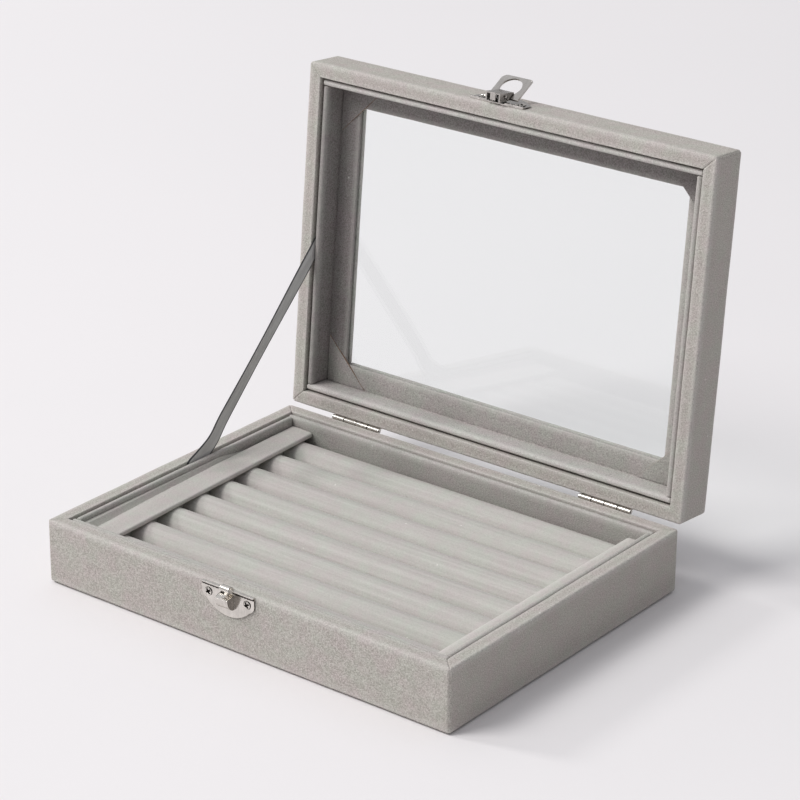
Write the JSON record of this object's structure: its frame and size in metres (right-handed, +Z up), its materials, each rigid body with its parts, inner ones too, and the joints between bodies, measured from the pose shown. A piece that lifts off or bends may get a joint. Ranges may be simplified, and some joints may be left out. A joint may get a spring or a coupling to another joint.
{
  "type": "ring display box",
  "caption": "Velvet-wrapped ring tray with padded rolls, a windowed hinged lid held open by a ribbon stay, and a sprung duckbill latch.",
  "frame": {"origin": "centre of the underside, on the surface that the box stands on", "axes": "+X right along the width, +Y back to the hinges, +Z up"},
  "size_m": [0.2, 0.1869, 0.1856],
  "materials": {
    "wrap_velvet": "short-nap velvet over board, warm light grey",
    "liner_velvet": "short-nap velvet over card, warm grey",
    "roll_velvet": "brushed velvet over soft foam, pale warm grey",
    "underside_paper": "flocked paper sheet, grey",
    "fibreboard": "raw fibreboard",
    "glass": "clear float glass",
    "nickel": "bright nickel plate over pressed steel",
    "spring_wire": "drawn spring wire",
    "ribbon": "woven satin ribbon, dark grey"
  },
  "bodies": {
    "base": {"base_front_wall": "wrap_velvet", "base_right_wall": "wrap_velvet", "base_back_wall": "wrap_velvet", "base_left_wall": "wrap_velvet", "underside_sheet": "underside_paper", "floor_panel": "fibreboard", "floor_lining": "liner_velvet", "base_liner_front": "liner_velvet", "base_liner_right": "liner_velvet", "base_liner_back": "liner_velvet", "base_liner_left": "liner_velvet", "end_bar_left": "wrap_velvet", "end_bar_right": "wrap_velvet", "ring_roll_1": "roll_velvet", "ring_roll_2": "roll_velvet", "ring_roll_3": "roll_velvet", "ring_roll_4": "roll_velvet", "ring_roll_5": "roll_velvet", "ring_roll_6": "roll_velvet", "ring_roll_7": "roll_velvet", "ring_roll_8": "roll_velvet", "catch_plate": "nickel", "catch_screws": "nickel", "hinge_left_base_leaf": "nickel", "hinge_right_base_leaf": "nickel", "hinge_left_pin": "nickel", "hinge_right_pin": "nickel", "hinge_base_screws": "nickel", "stay_ribbon": "ribbon"},
    "lid": {"lid_front_wall": "wrap_velvet", "lid_right_wall": "wrap_velvet", "lid_back_wall": "wrap_velvet", "lid_left_wall": "wrap_velvet", "lid_border_front": "wrap_velvet", "lid_border_right": "wrap_velvet", "lid_border_back": "wrap_velvet", "lid_border_left": "wrap_velvet", "glass_pane": "glass", "glass_retainer_front": "liner_velvet", "glass_retainer_right": "liner_velvet", "glass_retainer_back": "liner_velvet", "glass_retainer_left": "liner_velvet", "gusset_front_left": "wrap_velvet", "gusset_front_right": "wrap_velvet", "gusset_back_right": "wrap_velvet", "gusset_back_left": "wrap_velvet", "lid_liner_front": "liner_velvet", "lid_liner_right": "liner_velvet", "lid_liner_back": "liner_velvet", "lid_liner_left": "liner_velvet", "hinge_left_lid_leaf": "nickel", "hinge_right_lid_leaf": "nickel", "hinge_lid_screws": "nickel", "lever_plate": "nickel", "lever_plate_screws": "nickel", "lever_pin": "nickel", "lever_spring": "spring_wire"},
    "latch_lever": {"latch_lever": "nickel"}
  },
  "joints": [
    {"name": "lid_hinge", "type": "hinge", "parent": "base", "child": "lid", "pos_m": [0, 0.07595, 0.02765], "axis": [1, 0, 0], "range_deg": [0, 95], "deforming": ["stay_ribbon"]},
    {"name": "latch_rock", "type": "hinge", "parent": "lid", "child": "latch_lever", "pos_m": [-0.0048, 0.09354, 0.17995], "axis": [-1, 0, 0], "range_deg": [0, 16], "stiffness_Nm_per_rad": 0.005, "springref_deg": -17.19, "deforming": ["lever_spring"]}
  ]
}
